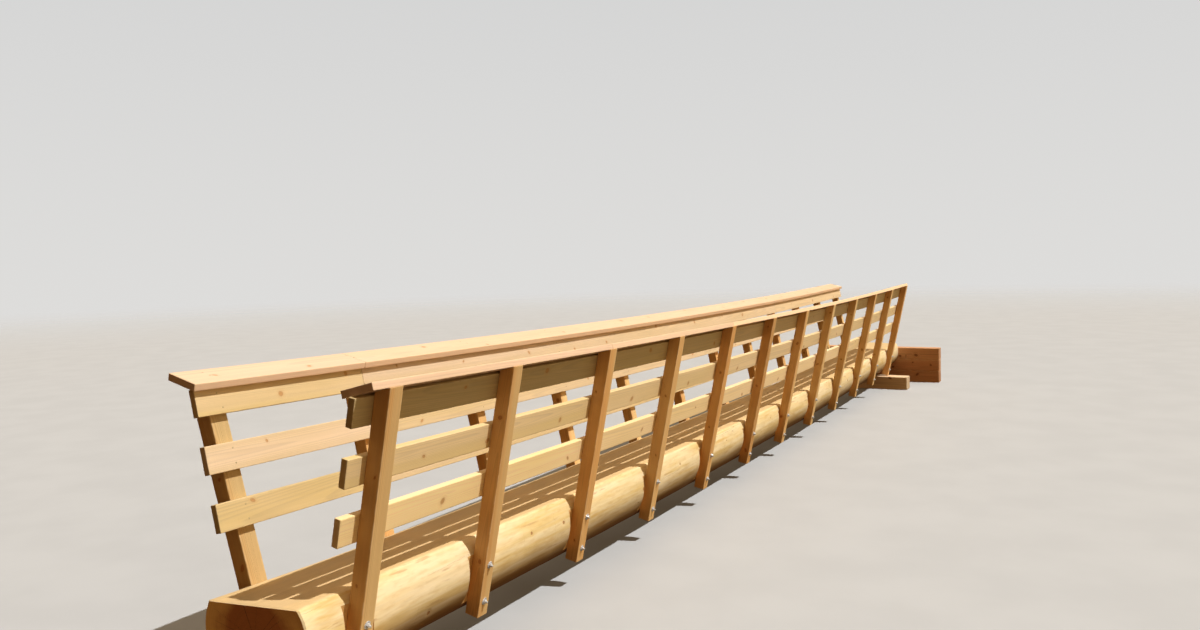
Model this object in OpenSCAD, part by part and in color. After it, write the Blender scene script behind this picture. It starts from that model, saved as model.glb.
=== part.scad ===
// Footbridge on one flat-topped log, with leaning posts and sloped cap rails.
// X runs along the bridge from its near end, Y points to its left side and Z is up.
// The sills rest on Z = 0, and the log sags between them, with all that it carries.

/* [Span] */
// Distance between two posts along the bridge
post_pitch = 1100; // [900:5:1300]
// Distance between the first two posts, which stand closer
first_pitch = 975; // [800:5:1300]
// How far the left posts stand nearer to the near end than the right ones
post_stagger = 75; // [0:5:120]
// Drop of the walkway at the middle of the span
sag = 60; // [0:5:100]

/* [Log] */
// Diameter of the log over the near sill, without the swell of its butt
log_near_d = 600; // [560:4:700]
// Diameter of the log over the far sill
log_far_d = 592; // [560:4:700]
// Height of the sawn walkway's left edge above the heart of the log
walk_rise = 142; // [110:2:190]
// Cross slope of the walkway at the near end, in degrees, rising to the right
wind_near = 4.6; // [0:0.2:6]
// Cross slope of the walkway at the far end
wind_far = -1.4; // [-3:0.2:3]
// Depth of the flat seat hewn under the log where it is thinnest
seat_depth = 6; // [2:1:20]
// Extra radius of the butt at the near end
butt_swell = 40; // [0:2:60]
// Length over which the butt narrows to the log
butt_length = 1100; // [500:50:1500]
// Length of the log past the first right post
log_near_end = 340; // [300:5:500]
// Length of the log past the last right post
log_far_end = 850; // [500:10:1200]

/* [Posts] */
// Width of a post along the bridge
post_w = 89; // [60:1:120]
// Depth of a post across the bridge
post_d = 89; // [60:1:120]
// Outward lean of the posts in degrees
lean = 12; // [4:1:16]
// Distance from the middle of the bridge to a post's inner face at the walkway
post_offset = 300; // [275:1:320]
// Height of the lowest corner of an end post above the sills
foot_gap = 8; // [2:1:100]
// Width of the notch that seats a post in the log
notch_w = 200; // [130:5:340]
// Eased edge of the posts
post_ease = 4; // [1:0.5:8]
// Side of the first left post, which is cut from a larger timber
first_left_size = 100; // [80:1:120]
// Tilt of the first left post towards the near end, in degrees
first_left_tilt = 3.4; // [0:0.1:3.8]
// Height above the walkway, along the lean, at which the tilted post is at its place
tilt_height = 450; // [300:10:600]

/* [Rails] */
// Thickness of the rails and caps
board_t = 38; // [25:1:50]
// Width of a rail
rail_w = 140; // [90:1:180]
// Distance between the middles of two rails, along the lean
rail_pitch = 284; // [200:2:300]
// Distance from the walkway to the middle of the bottom rail, along the lean
bottom_rail = 357; // [250:1:400]
// Width of a cap board
cap_w = 196; // [160:1:235]
// Inward slope of the caps in degrees
cap_slope = 14; // [0:1:25]
// Reach of the left cap past the inner face of the rails
left_reach = 32; // [0:1:70]
// Reach of the right cap past the inner face of the rails
right_reach = 60; // [0:1:70]
// Length of the rails before the first post
rail_stub = 165; // [80:5:240]
// Length of the left cap before the first post
left_cap_stub = 185; // [80:5:250]
// Length of the right cap before the first post
right_cap_stub = 145; // [80:5:250]
// Length of rails and caps past the last post
far_stub = 75; // [50:5:150]
// Gap between two boards that meet on a post
board_gap = 4; // [2:1:10]
// Eased edge of the rails and caps
board_ease = 3; // [1:0.5:6]

/* [Abutments] */
// Height of a sill
sill_h = 200; // [160:5:300]
// Thickness of a sill along the bridge
sill_w = 240; // [150:5:300]
// Length of a sill across the bridge
sill_length = 1240; // [900:10:1800]
// Height of one timber of the far wall
wall_h = 190; // [150:5:200]
// Thickness of the far wall
wall_t = 190; // [140:5:240]
// Length of the far wall across the bridge
wall_length = 1900; // [1300:10:2400]
// Eased edge of the sills and wall timbers
timber_ease = 8; // [2:1:15]

/* [Hidden] */
post_count = 12;
function post_name(side, i) = str(side, "_post_", i < 10 ? "0" : "", i);

// Posts on which the boards of each side are butted, counted from the near end
right_joints = [3, 5, 9];
left_joints = [2, 9];

// Clearance of a piece that is seated on another
seat_gap = 0.3;
// Steps of the log's outline, of its butt and of the rest of its length
ring_steps = 40;
butt_steps = 6;
body_steps = 24;

span = first_pitch + (post_count - 2) * post_pitch;
total_length = log_near_end + span + log_far_end + wall_t;
x_near = -total_length / 2;
x_first = x_near + log_near_end;
x_last = x_first + span;
x_wall = x_last + log_far_end;
// Sills lie under the first and the last pair of posts
x_near_sill = x_first - post_stagger / 2;
x_far_sill = x_last - post_stagger / 2;

// Place along X of post i of a side that is shifted towards the near end
function post_x(i, shift) = x_first - shift + (i < 2 ? 0 : first_pitch + (i - 2) * post_pitch);
function side_posts(shift) = [for (i = [1:post_count]) post_x(i, shift)];

// Walkway: its height over the sills, and its sag as a parabola between the end posts
walk_height = walk_rise + min(log_near_d, log_far_d) / 2 - seat_depth;
function along(x) = (x - x_first) / span;
function walk_z(x) = sill_h + walk_height - 4 * sag * along(x) * (1 - along(x));
function walk_slope(x) = -4 * sag * (1 - 2 * along(x)) / span;
steepest = 4 * sag / span;

// Posts and rails are laid out by o, outwards across the lean, and h, up along it
function lean_pt(o, h) = [
    post_offset + h * sin(lean) + o * cos(lean),
    h * cos(lean) - o * sin(lean)];
post_foot = (walk_height - foot_gap - post_d * sin(lean)) / cos(lean);
rail_gap = seat_gap + steepest * post_w / 2 * sin(lean);
rail_inner = -rail_gap - board_t;
top_rail = bottom_rail + 2 * rail_pitch;
rail_top = top_rail + rail_w / 2;

// Caps rest on the eased inner arris of the top rails and on the bevelled posts
cap_rest = lean_pt(rail_inner + board_ease, rail_top) + seat_gap * [-sin(cap_slope), cos(cap_slope)];
function cap_run(reach) = reach + cap_rest.x - lean_pt(rail_inner, rail_top).x;
function cap_edge(reach) = cap_rest - cap_run(reach) * [1, tan(cap_slope)];
function cap_pt(reach, u, v) = cap_edge(reach) + [
    u * cos(cap_slope) - v * sin(cap_slope),
    u * sin(cap_slope) + v * cos(cap_slope)];

// Radius of the log, with the flare of its butt
function butt_flare(x) = pow(max(0, 1 - (x - x_near) / butt_length), 2);
function log_r(x) = (log_near_d + (log_far_d - log_near_d) * along(x)) / 2 + butt_swell * butt_flare(x);

// Cross slope of the walkway at x: the sawn face winds, but its left edge keeps the level
function wind(x) = wind_far + (wind_near - wind_far) * pow((x_wall - x) / (x_wall - x_near), 3);
half_walk = sqrt(pow(log_near_d / 2, 2) - pow(walk_rise, 2));

// Outline of the log at x: round, from the walkway's left edge under the heart to its right one
function log_ring(x) = let (
        r = log_r(x),
        slope = wind(x),
        rise = (walk_rise + half_walk * tan(slope)) * cos(slope),
        half = acos(rise / r),
        left_edge = 90 - slope - half)
    [for (i = [0:ring_steps])
        let (a = left_edge - (360 - 2 * half) * i / ring_steps)
        [x, r * cos(a), walk_z(x) - walk_rise + r * sin(a)]];
log_stations = concat(
    [for (k = [0:butt_steps - 1]) x_near + butt_length * k / butt_steps],
    [for (k = [0:body_steps])
        x_near + butt_length + (x_wall - x_near - butt_length) * k / body_steps]);

// Rectangle with eased edges, from its outer top edge round to its top again
function eased(a0, a1, b0, b1, e) = [
    [a1, b1 - e], [a1, b0 + e], [a1 - e, b0], [a0 + e, b0],
    [a0, b0 + e], [a0, b1 - e], [a0 + e, b1], [a1 - e, b1]];
function rail_outline(h) = [
    for (p = eased(rail_inner, -rail_gap, h - rail_w / 2, h + rail_w / 2, board_ease))
        lean_pt(p.x, p.y)];
function cap_outline(reach) = [
    for (p = eased(0, cap_w, 0, board_t, board_ease)) cap_pt(reach, p.x, p.y)];

// Stations of one board: its two ends and each post that it passes
function board_stations(posts, x0, x1) = concat(
    [x0], [for (x = posts) if (x > x0 + post_w / 2 && x < x1 - post_w / 2) x], [x1]);

// Solid through rings of points that run from the left side under to the right
module sweep(rings) {
    n = len(rings[0]);
    last = len(rings) - 1;
    sides = [for (k = [0:last - 1]) for (i = [0:n - 1])
        let (j = (i + 1) % n, a = k * n + i, b = k * n + j)
        each [[a, b, b + n], [a, b + n, a + n]]];
    near = [for (i = [n - 1:-1:0]) i];
    far = [for (i = [0:n - 1]) last * n + i];
    polyhedron(points = [for (ring = rings) each ring], faces = concat([near], sides, [far]));
}

// One run of butted boards along a side, with an outline that follows the walkway
module board_run(outline, joints, near_stub, shift) {
    posts = side_posts(shift);
    starts = concat([posts[0] - near_stub], [for (i = joints) posts[i - 1] + board_gap / 2]);
    ends = concat([for (i = joints) posts[i - 1] - board_gap / 2], [posts[post_count - 1] + far_stub]);
    for (k = [0:len(starts) - 1])
        sweep([for (x = board_stations(posts, starts[k], ends[k]))
            [for (p = outline) [x, p.x, p.y + walk_z(x)]]]);
}

// Leaning frame of the post at x, on the left side
module at_post(x) {
    translate([x, post_offset, walk_z(x)])
        rotate([-lean, 0, 0])
            children();
}

// Room cut into the log for the post at x, flat against the post's inner face
module notch(x) {
    at_post(x)
        translate([-notch_w / 2, -seat_gap, -2 * walk_height])
            cube([notch_w, log_near_d, 3 * walk_height]);
}

// Room of the log's seat on a sill
module seat(x) {
    translate([x - sill_w / 2, -sill_length / 2, 0])
        cube([sill_w, sill_length, sill_h]);
}

module stringer_log() {
    color("burlywood")
        difference() {
            sweep([for (x = log_stations) log_ring(x)]);
            for (x = side_posts(post_stagger))
                notch(x);
            for (x = side_posts(0))
                mirror([0, 1, 0])
                    notch(x);
            seat(x_near_sill);
            seat(x_far_sill);
        }
}

// Squared timber along Y with eased long edges, standing on z from x on
module timber(x, z, thickness, height, length) {
    translate([x, length / 2, z])
        rotate([90, 0, 0])
            linear_extrude(length)
                polygon(eased(0, thickness, 0, height, timber_ease));
}

module near_sill() {
    color("peru")
        timber(x_near_sill - sill_w / 2, 0, sill_w, sill_h, sill_length);
}

module far_sill() {
    color("peru")
        timber(x_far_sill - sill_w / 2, 0, sill_w, sill_h, sill_length);
}

// Timber of the far wall, counted from the lowest
module wall_timber(course) {
    color("sienna")
        timber(x_wall, course * wall_h, wall_t, wall_h, wall_length);
}

// Post of the left side: leaning, bevelled on top under the cap, and tilted along the bridge
module post(x, width, depth, tilt) {
    head = rail_top + rail_w;
    color("sandybrown")
        difference() {
            at_post(x)
                translate([0, 0, tilt_height])
                    rotate([0, -tilt, 0])
                        translate([0, 0, -tilt_height - post_foot])
                            linear_extrude(post_foot + head)
                                polygon(eased(-width / 2, width / 2, 0, depth, post_ease));
            translate([x, cap_rest.x, cap_rest.y + walk_z(x)])
                rotate([cap_slope, -atan(walk_slope(x)), 0])
                    translate([-2 * width, -cap_w, -seat_gap])
                        cube([4 * width, 3 * cap_w, 2 * head]);
        }
}

module left_post(i) {
    x = post_x(i, post_stagger);
    if (i == 1)
        post(x, first_left_size, first_left_size, first_left_tilt);
    else
        post(x, post_w, post_d, 0);
}

module right_post(i) {
    mirror([0, 1, 0])
        post(post_x(i, 0), post_w, post_d, 0);
}

module left_boards(outline, near_stub) {
    color("wheat")
        board_run(outline, left_joints, near_stub, post_stagger);
}

module right_boards(outline, near_stub) {
    color("wheat")
        mirror([0, 1, 0])
            board_run(outline, right_joints, near_stub, 0);
}

stringer_log();
near_sill();
far_sill();
wall_timber(0);  // wall_timber_low
wall_timber(1);  // wall_timber_mid
wall_timber(2);  // wall_timber_top
for (i = [1:post_count]) right_post(i);
for (i = [1:post_count]) left_post(i);
right_boards(cap_outline(right_reach), right_cap_stub);  // right_cap
right_boards(rail_outline(top_rail), rail_stub);  // right_rail_top
right_boards(rail_outline(top_rail - rail_pitch), rail_stub);  // right_rail_mid
right_boards(rail_outline(bottom_rail), rail_stub);  // right_rail_low
left_boards(cap_outline(left_reach), left_cap_stub);  // left_cap
left_boards(rail_outline(top_rail), rail_stub);  // left_rail_top
left_boards(rail_outline(top_rail - rail_pitch), rail_stub);  // left_rail_mid
left_boards(rail_outline(bottom_rail), rail_stub);  // left_rail_low
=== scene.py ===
import math
import random

import bpy
import numpy as np
from mathutils import Matrix, Vector, noise


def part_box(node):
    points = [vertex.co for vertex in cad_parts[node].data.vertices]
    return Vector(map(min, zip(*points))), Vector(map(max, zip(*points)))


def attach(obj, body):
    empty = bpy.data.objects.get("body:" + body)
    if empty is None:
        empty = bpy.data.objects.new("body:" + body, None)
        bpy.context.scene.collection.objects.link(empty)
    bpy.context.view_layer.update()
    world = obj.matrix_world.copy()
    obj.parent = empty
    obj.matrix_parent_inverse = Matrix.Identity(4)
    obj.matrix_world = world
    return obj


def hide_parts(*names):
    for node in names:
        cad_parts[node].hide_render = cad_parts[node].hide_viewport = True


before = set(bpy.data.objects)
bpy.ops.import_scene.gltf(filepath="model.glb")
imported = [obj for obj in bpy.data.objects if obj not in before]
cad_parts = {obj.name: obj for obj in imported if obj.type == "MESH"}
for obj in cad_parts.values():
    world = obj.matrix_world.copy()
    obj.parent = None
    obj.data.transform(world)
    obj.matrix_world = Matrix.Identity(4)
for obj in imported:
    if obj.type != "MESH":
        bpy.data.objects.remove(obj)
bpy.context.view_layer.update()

# Sizes of the construction, in metres and degrees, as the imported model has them
LEAN = math.radians(12.0)
CAP_SLOPE = math.radians(14.0)
POST_COUNT = 12
POST_W = 0.089
POST_D = 0.089
POST_OFFSET = 0.300
POST_STAGGER = 0.075
FIRST_LEFT_SIZE = 0.100
FIRST_LEFT_TILT = math.radians(3.4)
TILT_HEIGHT = 0.450
FOOT_GAP = 0.008
NOTCH_W = 0.200
BOARD_T = 0.038
RAIL_W = 0.140
RAIL_PITCH = 0.284
BOTTOM_RAIL = 0.357
CAP_W = 0.196
RAIL_STUB = 0.165
FAR_STUB = 0.075
BOARD_EASE = 0.003
SEAT_GAP = 0.0003
SAG = 0.060
WALK_RISE = 0.142
LOG_NEAR_D = 0.600
LOG_FAR_D = 0.592
SEAT_DEPTH = 0.006
BUTT_SWELL = 0.040
BUTT_LENGTH = 1.100
WIND_NEAR = 4.6
WIND_FAR = -1.4
RIGHT_JOINTS = (3, 5, 9)
LEFT_JOINTS = (2, 9)
LEFT, RIGHT = 1, -1
CAP_REACH = {LEFT: 0.032, RIGHT: 0.060}
CAP_STUB = {LEFT: 0.185, RIGHT: 0.145}


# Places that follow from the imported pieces
def middle_x(node):
    low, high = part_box(node)
    return (low.x + high.x) / 2


POSTS = {RIGHT: [middle_x(f"right_post_{i:02d}") for i in range(1, POST_COUNT + 1)]}
POSTS[LEFT] = [x - POST_STAGGER for x in POSTS[RIGHT]]
X_FIRST, X_LAST = POSTS[RIGHT][0], POSTS[RIGHT][-1]
SPAN = X_LAST - X_FIRST
X_NEAR, X_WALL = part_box("stringer_log")[0].x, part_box("stringer_log")[1].x
SILL_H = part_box("near_sill")[1].z
WALK_HEIGHT = WALK_RISE + min(LOG_NEAR_D, LOG_FAR_D) / 2 - SEAT_DEPTH
STEEPEST = 4 * SAG / SPAN
POST_FOOT = (WALK_HEIGHT - FOOT_GAP - POST_D * math.sin(LEAN)) / math.cos(LEAN)
RAIL_GAP = SEAT_GAP + STEEPEST * POST_W / 2 * math.sin(LEAN)
RAIL_INNER = -RAIL_GAP - BOARD_T
TOP_RAIL = BOTTOM_RAIL + 2 * RAIL_PITCH
RAIL_TOP = TOP_RAIL + RAIL_W / 2
HALF_WALK = math.sqrt((LOG_NEAR_D / 2) ** 2 - WALK_RISE**2)


def along(x):
    return (x - X_FIRST) / SPAN


def walk_z(x):
    return SILL_H + WALK_HEIGHT - 4 * SAG * along(x) * (1 - along(x))


def walk_slope(x):
    return -4 * SAG * (1 - 2 * along(x)) / SPAN


def lean_pt(o, h):
    """Across the bridge and up, of a point o outwards across the lean and h up along it."""
    return (
        POST_OFFSET + h * math.sin(LEAN) + o * math.cos(LEAN),
        h * math.cos(LEAN) - o * math.sin(LEAN),
    )


def cap_corner(side):
    """Lower inner corner of a side's cap, across the bridge and above the walkway."""
    rest = lean_pt(RAIL_INNER + BOARD_EASE, RAIL_TOP)
    rest_y = rest[0] - SEAT_GAP * math.sin(CAP_SLOPE)
    rest_z = rest[1] + SEAT_GAP * math.cos(CAP_SLOPE)
    run = CAP_REACH[side] + rest_y - lean_pt(RAIL_INNER, RAIL_TOP)[0]
    return rest_y - run, rest_z - run * math.tan(CAP_SLOPE)


def cap_pt(side, u, v):
    """Across the bridge and above the walkway, of a point u out along a cap and v up from its underside."""
    y, z = cap_corner(side)
    return (
        y + u * math.cos(CAP_SLOPE) - v * math.sin(CAP_SLOPE),
        z + u * math.sin(CAP_SLOPE) + v * math.cos(CAP_SLOPE),
    )


def post_shape(side, number):
    """Thickness of a post and its tilt along the bridge: the first left one is thicker and tilts."""
    return (FIRST_LEFT_SIZE, FIRST_LEFT_TILT) if (side, number) == (LEFT, 1) else (POST_W, 0.0)


def post_x(side, number, h):
    """Middle of a post along the bridge, h up along its lean."""
    return POSTS[side][number - 1] - (h - TILT_HEIGHT) * math.tan(post_shape(side, number)[1])


# Material graphs
class Shade:
    """The nodes of a material or a world, written as calls that take and return sockets."""

    def __init__(self, owner):
        owner.use_nodes = True
        self.owner = owner
        self.tree = owner.node_tree
        self.tree.nodes.clear()

    def node(self, kind, inputs, **settings):
        made = self.tree.nodes.new(kind)
        for key, value in settings.items():
            setattr(made, key, value)
        for key, value in inputs.items():
            if isinstance(value, bpy.types.NodeSocket):
                self.tree.links.new(value, made.inputs[key])
            else:
                made.inputs[key].default_value = value
        return made

    def read(self, name):
        return self.node("ShaderNodeAttribute", {}, attribute_name=name).outputs["Vector"]

    def math(self, operation, a, b=0.0):
        return self.node("ShaderNodeMath", {0: a, 1: b}, operation=operation).outputs[0]

    def times(self, a, b):
        return self.math("MULTIPLY", a, b)

    def plus(self, a, b):
        return self.math("ADD", a, b)

    def stretch(self, vector, factors):
        return self.node("ShaderNodeVectorMath", {0: vector, 1: factors}, operation="MULTIPLY").outputs[0]

    def shift(self, vector, other):
        return self.node("ShaderNodeVectorMath", {0: vector, 1: other}, operation="ADD").outputs[0]

    def size(self, vector):
        return self.node("ShaderNodeVectorMath", {0: vector}, operation="LENGTH").outputs["Value"]

    def split(self, vector):
        return self.node("ShaderNodeSeparateXYZ", {0: vector}).outputs

    def join(self, x, y, z):
        return self.node("ShaderNodeCombineXYZ", {0: x, 1: y, 2: z}).outputs[0]

    def noise(self, vector, factors, detail=2.0, output="Fac"):
        inputs = {"Vector": self.stretch(vector, factors), "Scale": 1.0, "Detail": detail}
        return self.node("ShaderNodeTexNoise", inputs).outputs[output]

    def ease(self, value, low, high, start=0.0, end=1.0):
        inputs = {0: value, 1: low, 2: high, 3: start, 4: end}
        return self.node("ShaderNodeMapRange", inputs, interpolation_type="SMOOTHSTEP").outputs[0]

    def swing(self, value, amount):
        """Turns a noise round one half into an amount either way."""
        return self.times(self.math("SUBTRACT", value, 0.5), 2 * amount)

    def mix(self, factor, a, b):
        inputs = {0: factor, 6: a, 7: b}
        return self.node("ShaderNodeMix", inputs, data_type="RGBA", clamp_factor=True).outputs[2]

    def brighten(self, colour, factor):
        return self.node("ShaderNodeVectorMath", {0: colour, 3: factor}, operation="SCALE").outputs[0]

    def finish(self, colour, roughness, height, metallic=0.0, specular=0.35):
        bump = self.node("ShaderNodeBump", {"Height": height, "Distance": 1.0, "Strength": 1.0})
        inputs = {
            "Base Color": colour,
            "Roughness": roughness,
            "Metallic": metallic,
            "Specular IOR Level": specular,
            "Normal": bump.outputs[0],
        }
        shader = self.node("ShaderNodeBsdfPrincipled", inputs)
        self.node("ShaderNodeOutputMaterial", {"Surface": shader.outputs[0]})
        return self.owner


def rgb(red, green, blue):
    """A colour given as it shows on a screen, 0 to 255, as a linear one."""
    linear = [((v / 255 + 0.055) / 1.055) ** 2.4 if v > 10 else v / 3294.6 for v in (red, green, blue)]
    return (*linear, 1.0)


def knot_marks(s):
    """Distance from the nearest knot in its radii, and the masks of its core, its rim and its halo."""
    along_it, across_it, radius = s.split(s.read("knot"))
    wobble = s.swing(s.noise(s.read("grain"), (60, 60, 60)), 0.18)
    away = s.plus(s.size(s.join(along_it, across_it, 0.0)), 0.0005)
    reach = s.plus(s.math("DIVIDE", away, s.plus(radius, 0.00002)), wobble)
    core = s.ease(reach, 0.8, 1.0, 1.0, 0.0)
    rim = s.times(s.ease(reach, 0.7, 0.98), s.ease(reach, 1.05, 1.5, 1.0, 0.0))
    halo = s.ease(reach, 0.6, 3.4, 1.0, 0.0)
    return reach, core, rim, halo, radius


def ring_lines(s, grain, width, halo, radius):
    """Late wood of the growth rings round the pith, which bend round knots."""
    warp = s.shift(s.noise(grain, (0.9, 7, 7), 1.0, "Color"), (-0.5, -0.5, -0.5))
    bent = s.shift(grain, s.stretch(warp, (0.0, 0.016, 0.016)))
    x, a, b = s.split(bent)
    from_pith = s.size(s.join(0.0, a, b))
    bulge = s.times(s.times(halo, halo), s.times(radius, 1.3))
    reach = s.plus(from_pith, bulge)
    drift = s.swing(s.noise(s.join(s.times(x, 0.25), s.times(reach, 11.0), 0.0), (1, 1, 1), 1.0), 2.2)
    turn = s.math("FRACT", s.plus(s.math("DIVIDE", reach, width), drift))
    late = s.times(s.ease(turn, 0.35, 0.86), s.ease(turn, 0.92, 1.0, 1.0, 0.0))
    return late, from_pith


def lumber(name, sap, heart, knot_light, knot_dark, ring, heart_radius, contrast, roughness,
           saw=1.0, checks=0.0):
    """Sawn timber: pale sapwood round warmer heartwood, rings, fibres, knots, board tones, and edges
    lightened partly by rubbing and partly as a painted highlight.
    """
    s = Shade(bpy.data.materials.new(name))
    grain, tone = s.read("grain"), s.split(s.read("tone"))
    wear = s.split(s.read("wear"))
    reach, core, rim, halo, radius = knot_marks(s)
    late, from_pith = ring_lines(s, grain, ring, halo, radius)
    fibre = s.noise(grain, (7, 420, 420), 2.0)
    streak = s.noise(grain, (0.9, 55, 55), 2.0)
    blotch = s.noise(grain, (1.3, 6, 6), 2.0)
    edge_of_heart = s.plus(from_pith, s.swing(s.noise(grain, (0.6, 14, 14), 2.0), 0.03))
    in_heart = s.ease(edge_of_heart, heart_radius - 0.014, heart_radius + 0.014, 1.0, 0.0)
    warmth = s.plus(s.times(tone[1], 0.7), s.plus(s.times(in_heart, 0.3), s.swing(blotch, 0.30)))
    colour = s.mix(warmth, sap, heart)
    colour = s.mix(s.times(late, contrast), colour, s.brighten(s.mix(0.35, colour, heart), 0.70))
    level = s.plus(s.plus(s.swing(streak, 0.09), s.swing(fibre, 0.07)), s.plus(0.75, s.times(tone[0], 0.5)))
    level = s.plus(level, s.swing(blotch, 0.06))
    colour = s.brighten(colour, level)
    core_tone = s.mix(s.math("FRACT", s.times(reach, 3.5)), knot_light, knot_dark)
    colour = s.mix(s.times(halo, 0.25), colour, knot_light)
    colour = s.mix(s.times(core, 0.75), colour, core_tone)
    colour = s.mix(s.times(rim, 0.50), colour, knot_dark)
    split = s.math("ABSOLUTE", s.swing(s.noise(grain, (0.7, 34, 34), 1.0), 1.0))
    split = s.times(s.ease(split, 0.0, 0.012, 1.0, 0.0), s.ease(s.noise(grain, (0.8, 9, 9)), 0.56, 0.64))
    split = s.times(split, checks)
    colour = s.mix(s.times(split, 0.45), colour, rgb(96, 56, 28))
    end_tone = s.mix(s.times(late, 0.5), s.brighten(colour, 0.80), s.brighten(colour, 0.52))
    colour = s.mix(wear[1], colour, end_tone)
    # Edges lighten, partly from rubbing and partly as a painted highlight.
    rub_and_highlight = s.times(wear[0], s.ease(s.noise(grain, (18, 60, 60), 3.0), 0.38, 0.66))
    colour = s.mix(s.times(rub_and_highlight, 0.35), colour, rgb(250, 226, 180))
    marks = s.noise(grain, (170, 5, 5), 1.0)
    height = s.plus(s.times(late, 0.00018), s.times(fibre, 0.00020))
    height = s.plus(height, s.times(marks, 0.00016 * saw))
    height = s.plus(height, s.times(split, -0.0012))
    height = s.plus(height, s.times(rim, -0.0003))
    rough = s.plus(s.swing(fibre, 0.10), s.plus(roughness, s.times(late, -0.08)))
    return s.finish(colour, rough, height)


def peeled_log():
    """The log's peeled round: pale sapwood, golden streaks, facets, knots, fine checks, painted shade
    darkening its belly.
    """
    s = Shade(bpy.data.materials.new("peeled_log"))
    grain = s.read("grain")
    reach, core, rim, halo, _ = knot_marks(s)
    swirl = s.shift(grain, s.join(0.0, s.times(halo, 0.02), s.times(halo, 0.02)))
    streak = s.noise(swirl, (1.1, 26, 26), 3.0)
    fine = s.noise(swirl, (3.0, 130, 130), 2.0)
    facet = s.noise(grain, (4.5, 26, 26), 1.0)
    patch = s.noise(grain, (1.6, 5, 5), 3.0)
    colour = s.mix(s.ease(streak, 0.36, 0.64), rgb(239, 222, 182), rgb(229, 204, 146))
    colour = s.mix(s.times(s.ease(patch, 0.47, 0.66), 0.5), colour, rgb(244, 228, 198))
    gold = s.times(s.ease(s.noise(grain, (2.2, 15, 15), 3.0), 0.54, 0.70), s.ease(patch, 0.62, 0.42))
    colour = s.mix(s.times(gold, 0.55), colour, rgb(212, 170, 92))
    bast = s.times(s.ease(s.noise(grain, (3.6, 34, 34), 4.0), 0.62, 0.70), s.ease(patch, 0.40, 0.56))
    colour = s.mix(s.times(bast, 0.40), colour, rgb(162, 106, 50))
    mottle = s.noise(swirl, (12, 55, 55), 3.0)
    colour = s.mix(s.times(s.ease(mottle, 0.46, 0.70), 0.24), colour, rgb(206, 170, 104))
    level = s.plus(s.plus(1.0, s.swing(fine, 0.06)), s.swing(facet, 0.08))
    colour = s.brighten(colour, level)
    core_tone = s.mix(s.math("FRACT", s.times(reach, 3.0)), rgb(192, 130, 68), rgb(140, 84, 40))
    colour = s.mix(s.times(halo, 0.30), colour, rgb(218, 166, 94))
    colour = s.mix(s.times(core, 0.80), colour, core_tone)
    colour = s.mix(s.times(rim, 0.65), colour, rgb(112, 66, 32))
    split = s.math("ABSOLUTE", s.swing(s.noise(swirl, (0.45, 16, 16), 1.0), 1.0))
    split = s.times(s.ease(split, 0.0, 0.009, 1.0, 0.0), s.ease(s.noise(grain, (0.9, 6, 6)), 0.56, 0.62))
    colour = s.mix(s.times(split, 0.45), colour, rgb(132, 88, 46))
    # Edges lighten, partly from rubbing and partly as a painted highlight.
    rub_and_highlight = s.times(s.split(s.read("wear"))[0], s.ease(s.noise(grain, (20, 50, 50), 3.0), 0.35, 0.62))
    colour = s.mix(s.times(rub_and_highlight, 0.45), colour, rgb(250, 230, 186))
    # Painted shade: the colour darkens towards the log's belly.
    painted_belly_shade = s.ease(s.plus(s.split(grain)[2], s.swing(patch, 0.06)), 0.02, -0.24)
    colour = s.mix(s.times(painted_belly_shade, 0.92), colour, rgb(116, 68, 24))
    height = s.plus(s.times(facet, 0.0022), s.times(fine, 0.00025))
    height = s.plus(height, s.times(halo, 0.0016))
    height = s.plus(height, s.times(split, -0.0018))
    height = s.plus(height, s.times(rim, -0.0008))
    return s.finish(colour, s.plus(0.55, s.swing(fine, 0.10)), height, specular=0.25)


def hewn_log(name, heart, sap, mark_scale):
    """Cut faces along the log: rings round its heart, warm heartwood in pale sapwood, and saw marks."""
    s = Shade(bpy.data.materials.new(name))
    grain = s.read("grain")
    _, core, rim, halo, radius = knot_marks(s)
    late, from_heart = ring_lines(s, grain, 0.0042, halo, radius)
    wander = s.swing(s.noise(grain, (0.4, 5, 5), 2.0), 0.035)
    inner = s.ease(s.plus(from_heart, wander), 0.225, 0.262, 1.0, 0.0)
    colour = s.mix(inner, sap, heart)
    colour = s.mix(s.times(late, 0.30), colour, s.brighten(colour, 0.72))
    streak = s.noise(grain, (0.9, 40, 40), 2.0)
    fibre = s.noise(grain, (8, 300, 300), 2.0)
    stain = s.noise(grain, (2.0, 4, 4), 4.0)
    level = s.plus(s.plus(1.0, s.swing(streak, 0.08)), s.plus(s.swing(fibre, 0.06), s.swing(stain, 0.10)))
    colour = s.brighten(colour, level)
    colour = s.mix(s.times(core, 0.7), colour, rgb(136, 82, 42))
    colour = s.mix(s.times(rim, 0.6), colour, rgb(96, 54, 28))
    # Edges lighten, partly from rubbing and partly as a painted highlight.
    rub_and_highlight = s.times(s.split(s.read("wear"))[0], s.ease(s.noise(grain, (20, 50, 50), 3.0), 0.30, 0.60))
    colour = s.mix(s.times(rub_and_highlight, 0.55), colour, rgb(250, 228, 184))
    marks = s.noise(grain, mark_scale, 2.0)
    height = s.plus(s.times(marks, 0.0006), s.times(late, 0.00015))
    return s.finish(colour, s.plus(0.68, s.swing(fibre, 0.10)), height, specular=0.25)


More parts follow.
